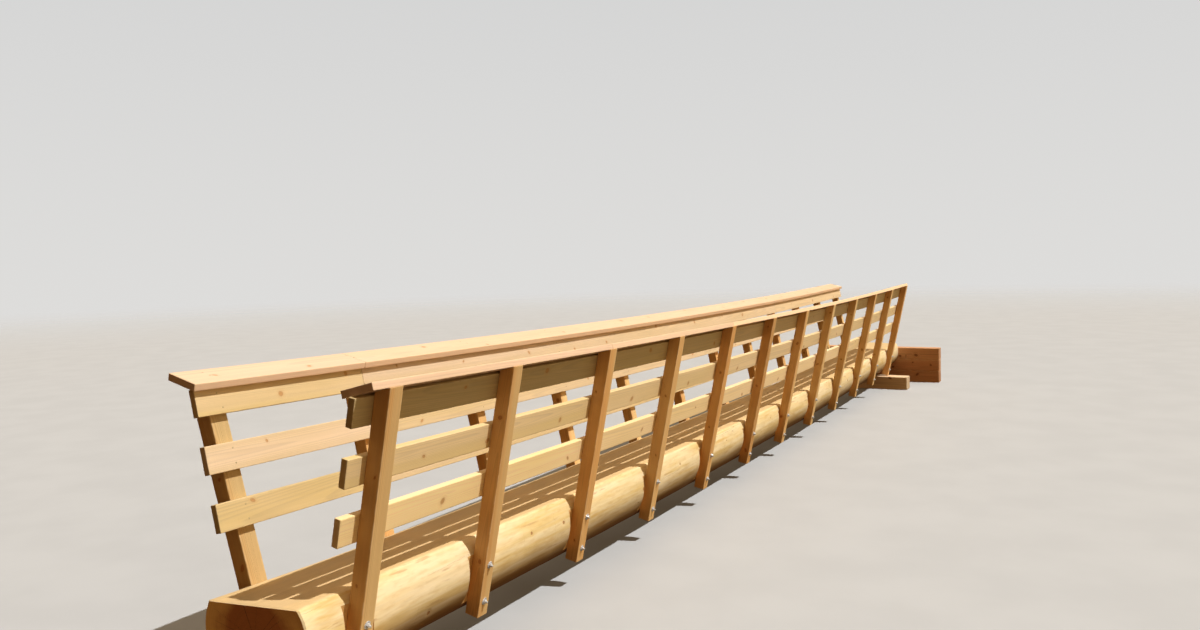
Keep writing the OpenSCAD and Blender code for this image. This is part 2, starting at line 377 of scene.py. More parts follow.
def log_end():
    """End grain of the log: rings and checks round its heart, brown heartwood and golden sapwood."""
    s = Shade(bpy.data.materials.new("log_end_grain"))
    grain = s.read("grain")
    _, y, z = s.split(grain)
    warp = s.noise(grain, (4, 4, 4), 2.0)
    out = s.plus(s.size(s.join(0.0, y, z)), s.swing(warp, 0.016))
    turn = s.math("ARCTAN2", z, y)
    inner = s.ease(s.plus(out, s.swing(s.noise(grain, (7, 7, 7), 3.0), 0.10)), 0.18, 0.28, 1.0, 0.0)
    rings = s.noise(s.join(s.times(out, 150.0), s.times(turn, 0.4), 0.0), (1, 1, 1), 1.0)
    stain = s.noise(grain, (3.5, 3.5, 3.5), 2.0)
    colour = s.mix(inner, rgb(252, 210, 138), rgb(190, 128, 84))
    colour = s.mix(s.times(s.ease(stain, 0.40, 0.62), 0.40), colour, rgb(160, 104, 66))
    colour = s.brighten(colour, s.plus(1.0, s.swing(rings, 0.16)))
    heart = s.ease(s.plus(out, s.swing(stain, 0.03)), 0.02, 0.06, 1.0, 0.0)
    colour = s.mix(s.times(heart, 0.4), colour, rgb(112, 64, 36))
    rays = s.noise(s.join(s.times(s.math("SINE", turn), 2.6), s.times(s.math("COSINE", turn), 2.6), 0.0),
                   (1, 1, 1), 1.0)
    slit = s.plus(0.004, s.times(s.math("SUBTRACT", 0.3, out), 0.02))
    shake = s.math("LESS_THAN", s.math("ABSOLUTE", s.swing(rays, 1.0)), slit)
    within = s.ease(s.plus(out, s.swing(stain, 0.2)), 0.24, 0.16)
    shake = s.times(shake, s.times(s.ease(out, 0.01, 0.04), within))
    colour = s.mix(s.times(shake, 0.7), colour, rgb(52, 26, 14))
    # The rim lightens, partly from rubbing and partly as a painted highlight.
    rub_and_highlight = s.times(s.split(s.read("wear"))[0], s.ease(s.noise(grain, (50, 50, 50), 3.0), 0.30, 0.60))
    colour = s.mix(s.times(rub_and_highlight, 0.5), colour, rgb(244, 214, 160))
    saw = s.noise(s.join(s.plus(s.times(y, 60.0), s.times(z, 150.0)), s.times(y, 4.0), 0.0), (1, 1, 1), 2.0)
    height = s.plus(s.times(saw, 0.0010), s.times(rings, 0.0003))
    height = s.plus(height, s.times(shake, -0.004))
    return s.finish(colour, s.plus(0.72, s.swing(stain, 0.08)), height, specular=0.2)


def galvanised():
    s = Shade(bpy.data.materials.new("galvanised_steel"))
    place = s.node("ShaderNodeTexCoord", {}).outputs["Object"]
    spangle = s.noise(place, (160, 160, 160), 3.0)
    dust = s.noise(place, (45, 45, 45), 3.0)
    colour = s.mix(s.ease(spangle, 0.35, 0.65), rgb(204, 209, 218), rgb(232, 236, 242))
    colour = s.mix(s.times(s.ease(dust, 0.55, 0.75), 0.25), colour, rgb(170, 156, 136))
    rough = s.plus(0.36, s.swing(spangle, 0.12))
    return s.finish(colour, rough, s.times(spangle, 0.0001), metallic=0.35, specular=0.5)


def coated_screw():
    s = Shade(bpy.data.materials.new("coated_screw"))
    place = s.node("ShaderNodeTexCoord", {}).outputs["Object"]
    marked = s.noise(place, (600, 600, 600), 3.0)
    colour = s.mix(s.ease(marked, 0.4, 0.65), rgb(168, 148, 110), rgb(206, 190, 156))
    return s.finish(colour, s.plus(0.45, s.swing(marked, 0.1)), s.times(marked, 0.00004), metallic=0.5)


MATERIALS = {
    "post": lumber("post_lumber", rgb(240, 214, 158), rgb(224, 162, 92), rgb(196, 128, 68),
                   rgb(146, 88, 46), 0.0046, 0.085, 0.42, 0.62, checks=1.0),
    "rail": lumber("rail_lumber", rgb(229, 204, 147), rgb(235, 211, 182), rgb(208, 158, 98),
                   rgb(172, 120, 72), 0.0050, 0.070, 0.32, 0.64),
    "cap": lumber("cap_lumber", rgb(235, 204, 168), rgb(240, 207, 186), rgb(212, 162, 108),
                  rgb(180, 128, 82), 0.0050, 0.070, 0.30, 0.64),
    "sill": lumber("sill_lumber", rgb(250, 228, 198), rgb(244, 214, 178), rgb(170, 104, 56),
                   rgb(98, 56, 30), 0.0055, 0.100, 0.42, 0.70, saw=3.0, checks=1.0),
    # The wall timbers' darker, redder lumber is partly their own colour and partly painted shade.
    "wall": lumber("wall_lumber", rgb(232, 184, 140), rgb(208, 144, 102), rgb(160, 96, 52),
                   rgb(88, 48, 26), 0.0055, 0.100, 0.55, 0.72, saw=3.0, checks=1.0),
    "peeled": peeled_log(),
    "walkway": hewn_log("sawn_walkway", rgb(223, 195, 149), rgb(230, 200, 149), (60, 7, 7)),
    "notch": hewn_log("hewn_notch", rgb(208, 154, 98), rgb(226, 184, 122), (14, 14, 90)),
    "log_end": log_end(),
    "steel": galvanised(),
    "screw": coated_screw(),
}


# Meshes
SHARP_ANGLE = math.radians(38)


def build(name, points, faces, materials, kinds=None, **attributes):
    """An object from points and faces, with a vector on each point for every attribute."""
    mesh = bpy.data.meshes.new(name)
    mesh.from_pydata(points, [], faces)
    for key, values in attributes.items():
        layer = mesh.attributes.new(key, "FLOAT_VECTOR", "POINT")
        layer.data.foreach_set("vector", np.asarray(values, np.float32).ravel())
    for material in materials:
        mesh.materials.append(MATERIALS[material])
    if kinds is not None:
        mesh.polygons.foreach_set("material_index", kinds)
    mesh.polygons.foreach_set("use_smooth", [True] * len(mesh.polygons))
    mesh.set_sharp_from_angle(angle=SHARP_ANGLE)
    mesh.validate()
    made = bpy.data.objects.new(name, mesh)
    bpy.context.scene.collection.objects.link(made)
    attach(made, "root")
    return made


# Sticks of sawn timber: rounded edges, lightened partly by rubbing and partly as a painted highlight,
# knots, and how far apart the sticks read their grain
ARC_STEPS = 3
WEAR_AND_HIGHLIGHT_BAND = 0.006
END_RIM = 0.003
KNOT_REACH = 6.0
GRAIN_SPREAD = 40.0


def eased_outline(a0, a1, b0, b1, radius):
    """Points (a, b, edge mark) round a rectangle with rounded edges, each edge set off by a pair of points.
    """
    inner_a, inner_b = (a0 + radius, a1 - radius), (b0 + radius, b1 - radius)
    corners = ((inner_a[1], inner_b[0], -90), (inner_a[1], inner_b[1], 0),
               (inner_a[0], inner_b[1], 90), (inner_a[0], inner_b[0], 180))
    outline = []
    for a, b, start in corners:
        arc = []
        for k in range(ARC_STEPS + 1):
            angle = math.radians(start + 90 * k / ARC_STEPS)
            arc.append((a + radius * math.cos(angle), b + radius * math.sin(angle), 1.0))
        turn, turned = math.radians(start), math.radians(start + 90)
        before = (arc[0][0] + WEAR_AND_HIGHLIGHT_BAND * math.sin(turn), arc[0][1] - WEAR_AND_HIGHLIGHT_BAND * math.cos(turn), 0.0)
        after = (arc[-1][0] - WEAR_AND_HIGHLIGHT_BAND * math.sin(turned), arc[-1][1] + WEAR_AND_HIGHLIGHT_BAND * math.cos(turned), 0.0)
        outline += [before, *arc, after]
    return outline


def knot_offset(knots, t, b, step):
    """Place in the knot that is near t, and its radius, or zeros where there is none."""
    for spot, across, radius, shortness, slant in knots:
        if abs(t - spot) < step + KNOT_REACH * radius:
            return ((t - spot) * shortness + (b - across) * slant, b - across, radius)
    return (0.0, 0.0, 0.0)


class Stick:
    """A straight or bowed stick of sawn timber, swept through rings of (a, b, edge mark) points."""

    def __init__(self):
        self.points, self.faces = [], []
        self.grain, self.knot, self.tone, self.wear = [], [], [], []

    def add(self, place, stations, outline, end_ease, pith, drift, tone, knots, flip=False):
        """Adds a stick: place(t, a, b) gives its point at t along it, and at a and b across it."""
        n = len(outline)
        base = len(self.points)
        middle = np.mean([p[:2] for p in outline], axis=0)
        first, last, step = stations[0], stations[-1], stations[1] - stations[0]
        face = end_ease + END_RIM
        head = [(0.0, face, 1.0, -1.0), (0.0, end_ease, 1.0, 1.0), (end_ease, 0.0, 0.0, 1.0),
                (end_ease + WEAR_AND_HIGHLIGHT_BAND, 0.0, 0.0, 0.0)]
        rows = [(first + t, *rest) for t, *rest in head]
        rows += [(t, 0.0, 0.0, 0.0) for t in stations[1:-1]]
        rows += [(last - t, *rest) for t, *rest in reversed(head)]
        for t, inset, cut, rim in rows:
            for a, b, marked in outline:
                a -= math.copysign(inset, a - middle[0])
                b -= math.copysign(inset, b - middle[1])
                self.points.append(place(t, a, b))
                from_pith = (a - pith[0] - drift[0] * t, b - pith[1] - drift[1] * t)
                self.grain.append((t + tone[2] * GRAIN_SPREAD, *from_pith))
                self.knot.append(knot_offset(knots, t, b, step))
                self.tone.append(tone)
                self.wear.append((max(marked, rim) if rim >= 0 else 0.0, cut, 0.0))
        for k in range(len(rows) - 1):
            for i in range(n):
                j = (i + 1) % n
                quad = [base + k * n + i, base + k * n + j, base + (k + 1) * n + j, base + (k + 1) * n + i]
                self.faces.append(quad[::-1] if flip else quad)
        first = [base + i for i in range(n)]
        last = [base + (len(rows) - 1) * n + i for i in range(n)]
        self.faces.append(first if flip else first[::-1])
        self.faces.append(last[::-1] if flip else last)

    def make(self, name, material, node):
        made = build(name, self.points, self.faces, [material],
                     grain=self.grain, knot=self.knot, tone=self.tone, wear=self.wear)
        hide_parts(node)


def spaced(start, end, step):
    count = max(2, round((end - start) / step))
    return [start + (end - start) * k / count for k in range(count + 1)]


def scatter_knots(draw, start, end, gap, across, radii):
    """Knots (t, b, radius, shortness, slant) along a stick, about gap apart."""
    knots, t = [], start + draw.uniform(0.1, gap)
    while t < end - 0.05:
        across_it, radius = draw.uniform(*across), draw.uniform(*radii)
        knots.append((t, across_it, radius, draw.uniform(0.7, 1.2), draw.uniform(-0.6, 0.6)))
        t += gap * draw.uniform(0.55, 1.6)
    return knots


# Posts: steps, edges and knots
POST_STEP = 0.05
POST_EASE = 0.004
POST_KNOT_GAP = 0.70
POST_KNOT_BAND = (0.026, 0.063)
POST_KNOT_RADII = (0.005, 0.012)
BEVEL_BLEND = 0.3
END_EASE = 0.002

# Lightness and warmth of the posts in front; the first left post's low lightness is painted shade.
POST_TONES = {
    (LEFT, 1): (0.04, 0.32),
    (RIGHT, 1): (0.36, 0.50),
}


def post_top(x, w, o):
    """Height along a post's lean of its top, cut to the cap's slope: w is along the bridge, o outwards."""
    tilt = math.atan(walk_slope(x))
    rise = math.cos(CAP_SLOPE) * math.cos(tilt)
    cap_y, cap_z = cap_corner(LEFT)
    level = -SEAT_GAP + math.cos(CAP_SLOPE) * math.sin(tilt) * w
    level += math.sin(CAP_SLOPE) * (POST_OFFSET + o * math.cos(LEAN) - cap_y)
    level += rise * (o * math.sin(LEAN) + cap_z)
    return level / (rise * math.cos(LEAN) - math.sin(CAP_SLOPE) * math.sin(LEAN))


def tilted_top(x, turn, a, b):
    """Place of the bevelled top along a post that is turned along the bridge."""
    flat = post_top(x, 0, b)
    grade = post_top(x, 1, b) - flat
    rise = flat - TILT_HEIGHT + a * (grade * math.cos(turn) - math.sin(turn))
    return TILT_HEIGHT + rise / (math.cos(turn) + grade * math.sin(turn))


def make_posts():
    for side, word in ((LEFT, "left"), (RIGHT, "right")):
        for number, x in enumerate(POSTS[side], 1):
            draw = random.Random(100 * (side + 2) + number)
            size, turn = post_shape(side, number)
            outline = eased_outline(-size / 2, size / 2, 0.0, size, POST_EASE)
            full = tilted_top(x, turn, 0, size / 2)

            def place(t, a, b):
                blend = max(0.0, (t - full) / BEVEL_BLEND + 1)
                t += blend * (tilted_top(x, turn, a, b) - full) - TILT_HEIGHT
                y, z = lean_pt(b, TILT_HEIGHT + a * math.sin(turn) + t * math.cos(turn))
                return (x + a * math.cos(turn) - t * math.sin(turn), side * y, walk_z(x) + z)

            stick = Stick()
            pith = (draw.uniform(-0.09, -0.03), draw.uniform(-0.01, 0.10))
            tone = POST_TONES.get((side, number), (draw.uniform(0.35, 0.70), draw.uniform(0.1, 0.7)))
            tone = (*tone, draw.random())
            knots = scatter_knots(draw, -POST_FOOT, full, POST_KNOT_GAP, POST_KNOT_BAND, POST_KNOT_RADII)
            drift = (draw.uniform(-0.02, 0.02), draw.uniform(-0.02, 0.02))
            stations = spaced(-POST_FOOT, full, POST_STEP)
            stick.add(place, stations, outline, END_EASE, pith, drift, tone, knots, flip=side == RIGHT)
            stick.make(f"{word}_post_{number:02d}_wood", "post", f"{word}_post_{number:02d}")


# Boards: steps, joints and knots
BOARD_STEP = 0.06
JOINT_GAP = 0.0016
BOARD_KNOT_GAP = 0.85
BOARD_KNOT_EDGE = 0.024
BOARD_KNOT_RADII = (0.007, 0.015)


def board_ends(side, joints, stub):
    posts = POSTS[side]
    starts = [posts[0] - stub] + [posts[i - 1] + JOINT_GAP / 2 for i in joints]
    ends = [posts[i - 1] - JOINT_GAP / 2 for i in joints] + [posts[-1] + FAR_STUB]
    return list(zip(starts, ends))


# Lightness and warmth of each board, from the near end on: 0 is dark or yellow, 1 is light or pink.
# Much of the lightness is painted light and shade: the sunlit left rails are darker and the right middle
# and low rails lighter to match how the sun falls on each side, the right top rail's near board is darker
# as painted shade under the cap, and the right cap's far boards are near white as a painted highlight.
BOARD_TONES = {
    ("left", "cap"): ((0.60, 0.75), (0.64, 0.50), (0.58, 0.45)),
    ("left", "rail_top"): ((0.40, 0.05), (0.34, 1.00), (0.42, 0.80)),
    ("left", "rail_mid"): ((0.44, 0.95), (0.38, 0.50), (0.44, 0.70)),
    ("left", "rail_low"): ((0.24, 0.12), (0.30, 0.25), (0.40, 0.50)),
    ("right", "cap"): ((0.38, 0.70), (0.50, 0.50), (0.95, 0.15), (1.00, 0.10)),
    ("right", "rail_top"): ((-0.08, 0.20), (0.18, 0.22), (0.34, 0.45), (0.38, 0.40)),
    ("right", "rail_mid"): ((0.70, 0.20), (0.68, 0.40), (0.72, 0.65), (0.70, 0.50)),
    ("right", "rail_low"): ((1.15, 0.35), (1.02, 0.50), (1.06, 0.65), (0.94, 0.60)),
}


def make_boards():
    rails = (("rail_top", TOP_RAIL), ("rail_mid", TOP_RAIL - RAIL_PITCH), ("rail_low", BOTTOM_RAIL))
    for side, word, joints in ((LEFT, "left", LEFT_JOINTS), (RIGHT, "right", RIGHT_JOINTS)):
        for run, height in (("cap", None), *rails):
            if run == "cap":
                outline = eased_outline(0.0, BOARD_T, 0.0, CAP_W, BOARD_EASE)
                stub, width = CAP_STUB[side], (BOARD_KNOT_EDGE, CAP_W - BOARD_KNOT_EDGE)
            else:
                outline = eased_outline(RAIL_INNER, -RAIL_GAP, -RAIL_W / 2, RAIL_W / 2, BOARD_EASE)
                stub, width = RAIL_STUB, (-RAIL_W / 2 + BOARD_KNOT_EDGE, RAIL_W / 2 - BOARD_KNOT_EDGE)
            stick = Stick()
            for number, (start, end) in enumerate(board_ends(side, joints, stub)):
                draw = random.Random(f"{word} {run} {number}")

                def place(t, a, b):
                    y, z = cap_pt(side, b, a) if height is None else lean_pt(a, height + b)
                    return (t, side * y, walk_z(t) + z)

                depth = draw.choice((-1, 1)) * draw.uniform(0.05, 0.14)
                pith = (depth, draw.uniform(-0.05, 0.05) + sum(width) / 2)
                drift = (draw.uniform(-0.012, 0.012), draw.uniform(-0.010, 0.010))
                tone = (*BOARD_TONES[word, run][number], draw.random())
                knots = scatter_knots(draw, start, end, BOARD_KNOT_GAP, width, BOARD_KNOT_RADII)
                flip = (side == LEFT) == (height is not None)
                stations = spaced(start, end, BOARD_STEP)
                stick.add(place, stations, outline, END_EASE, pith, drift, tone, knots, flip)
            wood = "cap" if run == "cap" else "rail"
            stick.make(f"{word}_{run}_boards", wood, f"{word}_{run}")


# Sills and wall timbers
TIMBER_STEP = 0.05
TIMBER_EASE = 0.008
TIMBER_END_EASE = 0.004
TIMBER_KNOT_GAP = 0.40
TIMBER_KNOT_EDGE = 0.02
TIMBER_KNOT_RADII = (0.008, 0.02)
SAWN_ROUGH = 0.0012
TOP_BAND = 0.03


def make_abutments():
    timbers = ("near_sill", "far_sill", "wall_timber_low", "wall_timber_mid", "wall_timber_top")
    for number, node in enumerate(timbers):
        low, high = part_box(node)
        draw = random.Random(700 + number)
        outline = eased_outline(low.x, high.x, low.z, high.z, TIMBER_EASE)
        free_top = node != "wall_timber_mid"

        def place(t, a, b):
            rough = SAWN_ROUGH * noise.noise(Vector((a * 9, t * 6, b * 9 + number)))
            return (a + rough, t, b + (rough if free_top and b > high.z - TOP_BAND else 0.0))

        stick = Stick()
        centre = ((low.x + high.x) / 2, (low.z + high.z) / 2)
        pith = (centre[0] + draw.uniform(-0.05, 0.05), centre[1] + draw.uniform(-0.05, 0.05))
        tone = (draw.uniform(0.35, 0.6), draw.uniform(0.4, 0.9), draw.random())
        band = (low.z + TIMBER_KNOT_EDGE, high.z - TIMBER_KNOT_EDGE)
        knots = scatter_knots(draw, low.y, high.y, TIMBER_KNOT_GAP, band, TIMBER_KNOT_RADII)
        drift = (draw.uniform(-0.01, 0.01), draw.uniform(-0.01, 0.01))
        stations = spaced(low.y, high.y, TIMBER_STEP)
        stick.add(place, stations, outline, TIMBER_END_EASE, pith, drift, tone, knots, flip=True)
        stick.make(f"{node}_wood", "sill" if "sill" in node else "wall", node)


# The log: its rings, its surface and its knots
LOG_STEP = 0.03
ROW_GAP = 0.4 * LOG_STEP
CUT_NUDGE = 1e-4
SAME_SPOT = 1e-6
LOG_CELL = 0.045
KNOT_LIMIT = 3.6
WALK_EASE = 0.005
RELIEF_FADE = 0.18
SWELL_HEIGHT = 0.0035
FACET_HEIGHT = 0.0016
FLUTE_HEIGHT = 0.004
FLUTES = 5
LOG_END_EASE = 0.007
LOG_END_RIM = 0.006
FIRST_WHORL = 0.25
WHORL_GAP = (0.35, 0.70)
LOG_KNOT_RADII = (0.004, 0.012)
SEGMENT_STEPS = {"walk": 22, "brow": 5, "notch": 18, "belly": 34}
LOG_MATERIALS = ["peeled", "walkway", "notch", "log_end"]
PEELED, WALKWAY, NOTCH, END = range(4)
SILL_BOXES = [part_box("near_sill"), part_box("far_sill")]


def flare(x):
    """How much of the swell at the butt is there at x, from 1 to 0."""
    return max(0.0, 1 - (x - X_NEAR) / BUTT_LENGTH) ** 2


def log_radius(x):
    return (LOG_NEAR_D + (LOG_FAR_D - LOG_NEAR_D) * along(x)) / 2 + BUTT_SWELL * flare(x)


def wind(x):
    """Angle by which the walkway tilts sideways at x."""
    share = (X_WALL - x) / (X_WALL - X_NEAR)
    return math.radians(WIND_FAR + (WIND_NEAR - WIND_FAR) * share**3)


def notch_plane(side, x):
    """Distance of the log's heart at x from a side's nearest notch plane, and of x from its post."""
    post = min(POSTS[side], key=lambda p: abs(p - x))
    drop = walk_z(x) - WALK_RISE - walk_z(post)
    reach = POST_OFFSET * math.cos(LEAN) + drop * math.sin(LEAN) - SEAT_GAP
    return reach, abs(post - x)


def relief(x, angle, radius, edge):
    """How far the peeled surface stands proud or shy of a true round, at an angle edge past the walkway."""
    fade = min(1.0, max(0.0, edge) / RELIEF_FADE)
    y, z = radius * math.cos(angle), radius * math.sin(angle)
    swell = SWELL_HEIGHT * noise.noise(Vector((x * 0.8, y * 3.0, z * 3.0 + 5)))
    facet = FACET_HEIGHT * noise.noise(Vector((x * 4.5, y * 24, z * 24)))
    flute = FLUTE_HEIGHT * flare(x) * math.sin(FLUTES * angle + 1)
    return (swell + facet + flute) * fade * fade * (3 - 2 * fade)


def log_ring(x, probe):
    """Outline of the log at x, as (y, z, segment), with the notches and seats that lie at probe."""
    radius, slope = log_radius(x), wind(x)
    rise = (WALK_RISE + HALF_WALK * math.tan(slope)) * math.cos(slope)
    half = math.acos(rise / radius)
    half_width = math.sqrt(radius**2 - rise**2)
    up = math.pi / 2 - slope
    reach = {side: notch_plane(side, x)[0] for side in (LEFT, RIGHT)}
    cut = {side: notch_plane(side, probe)[1] < NOTCH_W / 2 for side in (LEFT, RIGHT)}
    spread = {side: math.acos(min(1.0, reach[side] / radius)) for side in reach}
    ease = WALK_EASE / radius
    left_top = min(-LEAN + spread[LEFT], up - half - 3 * ease)
    left_low = -LEAN - spread[LEFT]
    right_top = max(-math.pi + LEAN - spread[RIGHT], up + half + 3 * ease - 2 * math.pi)
    right_low = -math.pi + LEAN + spread[RIGHT]
    seated = any(low.x < probe < high.x for low, high in SILL_BOXES)
    floor = walk_z(x) - WALK_RISE - SILL_H
    ring = []
    for k in range(SEGMENT_STEPS["walk"] + 1):
        t = (half_width - WALK_EASE) * (2 * k / SEGMENT_STEPS["walk"] - 1)
        y, z = rise * math.cos(up) + t * math.sin(up), rise * math.sin(up) - t * math.cos(up)
        ring.append((y, z, "walk"))
    # Angles fall from the walkway's left edge round the belly to its right edge
    stretches = (
        ("brow", up - half - ease, left_top, None),
        ("notch", left_top, left_low, LEFT),
        ("belly", left_low, right_low, None),
        ("notch", right_low, right_top, RIGHT),
        ("brow", right_top, up + half + ease - 2 * math.pi, None),
    )
    for kind, start, end, side in stretches:
        steps = SEGMENT_STEPS[kind]
        count = steps + 1 if end == stretches[-1][2] else steps
        for k in range(count):
            angle = start + (end - start) * k / steps
            edge = min(stretches[0][1] - angle, angle - stretches[-1][2])
            far = radius + relief(x, angle, radius, edge)
            if side is not None and cut[side]:
                facing = math.cos(angle + LEAN) if side == LEFT else math.cos(angle + math.pi - LEAN)
                far = min(far, reach[side] / facing)
            if seated and math.sin(angle) < 0:
                far = min(far, floor / -math.sin(angle))
            mark = "cut" if side is not None and cut[side] else "round"
            ring.append((far * math.cos(angle), far * math.sin(angle), mark))
    return ring


def log_rows():
    """Places along the log with the spot that says what is cut there: each cut's edge comes twice."""
    breaks = [x + s * NOTCH_W / 2 for side in (LEFT, RIGHT) for x in POSTS[side] for s in (-1, 1)]
    breaks += [corner.x for pair in SILL_BOXES for corner in pair]
    rows = [(b, b + nudge) for b in breaks for nudge in (-CUT_NUDGE, CUT_NUDGE)]
    rows += [(x, x) for x in spaced(X_NEAR, X_WALL, LOG_STEP) if all(abs(x - b) > ROW_GAP for b in breaks)]
    return sorted(rows)


def log_knots(draw):
    """Knots (x, angle, radius) in whorls along the log."""
    knots, x = [], X_NEAR + FIRST_WHORL
    while x < X_WALL:
        turn = draw.uniform(0, 2 * math.pi)
        for k in range(draw.randint(1, 4)):
            knots.append((x + draw.uniform(-0.07, 0.07), turn + 1.6 * k + draw.uniform(-0.4, 0.4),
                          draw.uniform(*LOG_KNOT_RADII)))
        x += draw.uniform(*WHORL_GAP)
    return knots


def nearest_knot(knots, x, y, z):
    """Offset along and around the log from the knot near a point, and its radius, or else zeros."""
    around = ((np.arctan2(z, y) - knots[:, 1] + math.pi) % (2 * math.pi) - math.pi) * math.hypot(y, z)
    ahead, radius = x - knots[:, 0], knots[:, 2]
    near = np.argmin(np.maximum(abs(ahead), abs(around)) - KNOT_LIMIT * radius)
    if max(abs(ahead[near]), abs(around[near])) > LOG_CELL + KNOT_LIMIT * radius[near]:
        return (0.0, 0.0, 0.0)
    return (ahead[near], around[near], radius[near])


def log_rings():
    """Rings of (x, y, z, segment) along the log, of which the first ones ease its near end."""
    rings = [[(x, y, z, kind) for y, z, kind in log_ring(x, probe)] for x, probe in log_rows()]
    near = rings.pop(0)
    for inset, back in ((0.0, LOG_END_EASE), (LOG_END_EASE, 0.0), (LOG_END_EASE + LOG_END_RIM, 0.0)):
        share = 1 - inset / (LOG_NEAR_D / 2)
        rings.insert(0, [(x + back, y * share, z * share, kind) for x, y, z, kind in near])
    return rings


def log_points(rings):
    """The rings' points with their attributes, and their numbers ring by ring, shared where rings meet."""
    knots = np.array(log_knots(random.Random(31)))
    arrises = (0, SEGMENT_STEPS["walk"], SEGMENT_STEPS["walk"] + 1, len(rings[0]) - 1)
    points, index, attributes = [], [], {"grain": [], "knot": [], "wear": []}
    for number, ring in enumerate(rings):
        own = []
        for i, (x, y, z, _) in enumerate(ring):
            spot = (x, y, walk_z(x) - WALK_RISE + z)
            if index and math.dist(points[index[-1][i]], spot) < SAME_SPOT:
                own.append(index[-1][i])
                continue
            # Marked points, on the near end's rim and the walkway's arrises, get lighter edges: partly
            # rubbing, partly a painted highlight.
            marked = number == 1 or number > 1 and i in arrises
            own.append(len(points))
            points.append(spot)
            attributes["grain"].append((x, y, z))
            attributes["knot"].append(nearest_knot(knots, x, y, z))
            attributes["wear"].append((1.0 if marked else 0.0, 0.0, 0.0))
        index.append(own)
    return points, index, attributes


def log_faces(rings, index):
    """Faces between the rings and over both ends, and the number of each one's material."""
    n = len(rings[0])
    faces, kinds = [], []
    for k in range(len(rings) - 1):
        here, ahead = rings[k], rings[k + 1]
        upright = here[0][0] == ahead[0][0]
        for i in range(n):
            j = (i + 1) % n
            quad = list(dict.fromkeys([index[k][i], index[k][j], index[k + 1][j], index[k + 1][i]]))
            if len(quad) < 3:
                continue
            faces.append(quad)
            if k == 0:
                kinds.append(END)
            elif upright or here[i][3] == ahead[i][3] == "cut":
                kinds.append(NOTCH)
            elif here[i][3] == here[j][3] == ahead[i][3] == "walk":
                kinds.append(WALKWAY)
            else:
                kinds.append(PEELED)
    faces += [index[0][::-1], index[-1]]
    kinds += [END, END]
    return faces, kinds


def make_log():
    rings = log_rings()
    points, index, attributes = log_points(rings)
    faces, kinds = log_faces(rings, index)
    made = build("stringer_log_wood", points, faces, LOG_MATERIALS, kinds, **attributes)
    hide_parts("stringer_log")


# Fastenings
WASHER_R = 0.021
WASHER_T = 0.003
WASHER_EASE = 0.0008
NUT_R = 0.0110
NUT_T = 0.011
ROD_R = 0.0062
ROD_OUT = 0.009
BOLT_HEIGHTS = (-0.105, -0.320)
RAIL_SCREWS = (-0.038, 0.038)
CAP_SCREWS = (0.067, 0.117)


def lathe_parts(profile, sides, turn=0.0):
    """Points and faces of a turned part: profile is (radius, height) pairs, closed at both ends."""
    points = []
    for radius, height in profile:
        for k in range(sides):
            angle = turn + 2 * math.pi * k / sides
            points.append((radius * math.cos(angle), radius * math.sin(angle), height))
    faces = []
    for row in range(len(profile) - 1):
        for k in range(sides):
            j = (k + 1) % sides
            faces.append([row * sides + k, row * sides + j, (row + 1) * sides + j, (row + 1) * sides + k])
    faces.append(list(range(sides))[::-1])
    faces.append([(len(profile) - 1) * sides + k for k in range(sides)])
    return points, faces


def bolt_parts(turn):
    """Washer, hexagon nut and the end of the bolt, standing on the wood at height 0."""
    washer = [(WASHER_R - WASHER_EASE, 0), (WASHER_R, WASHER_EASE)]
    washer += [(WASHER_R, WASHER_T - WASHER_EASE), (WASHER_R - WASHER_EASE, WASHER_T)]
    top = WASHER_T + NUT_T
    nut = [(NUT_R * 0.90, WASHER_T), (NUT_R, WASHER_T + 0.0012), (NUT_R, top - 0.0018), (NUT_R * 0.86, top)]
    thread = [(ROD_R, top - 0.002)]
    for k in range(4):
        foot = top + ROD_OUT * k / 4.6
        thread += [(ROD_R, foot), (ROD_R * 0.86, foot + 0.0006), (ROD_R, foot + 0.0012)]
    thread += [(ROD_R, top + ROD_OUT - 0.0014), (ROD_R * 0.75, top + ROD_OUT)]
    return [lathe_parts(washer, 28), lathe_parts(nut, 6, turn), lathe_parts(thread, 18)]


def screw_parts(turn):
    """Flush screw head with a recess, standing a hair proud of the wood."""
    head = [(0.0046, -0.001), (0.0046, 0.0001), (0.0041, 0.0004), (0.0019, 0.0004), (0.0015, -0.0009)]
    return [lathe_parts(head, 14, turn)]


def fasten(name, material, spots, parts, seed):
    """One joined mesh of a fastening set at each spot, which is (point, outward direction)."""
    draw = random.Random(seed)
    points, faces = [], []
    for point, out in spots:
        turned = Vector(out).to_track_quat("Z", "Y").to_matrix().to_4x4()
        matrix = Matrix.Translation(point) @ turned
        for own, sides in parts(draw.uniform(0, math.pi)):
            base = len(points)
            points += [tuple(matrix @ Vector(p)) for p in own]
            faces += [[base + v for v in face] for face in sides]
    build(name, points, faces, [material])


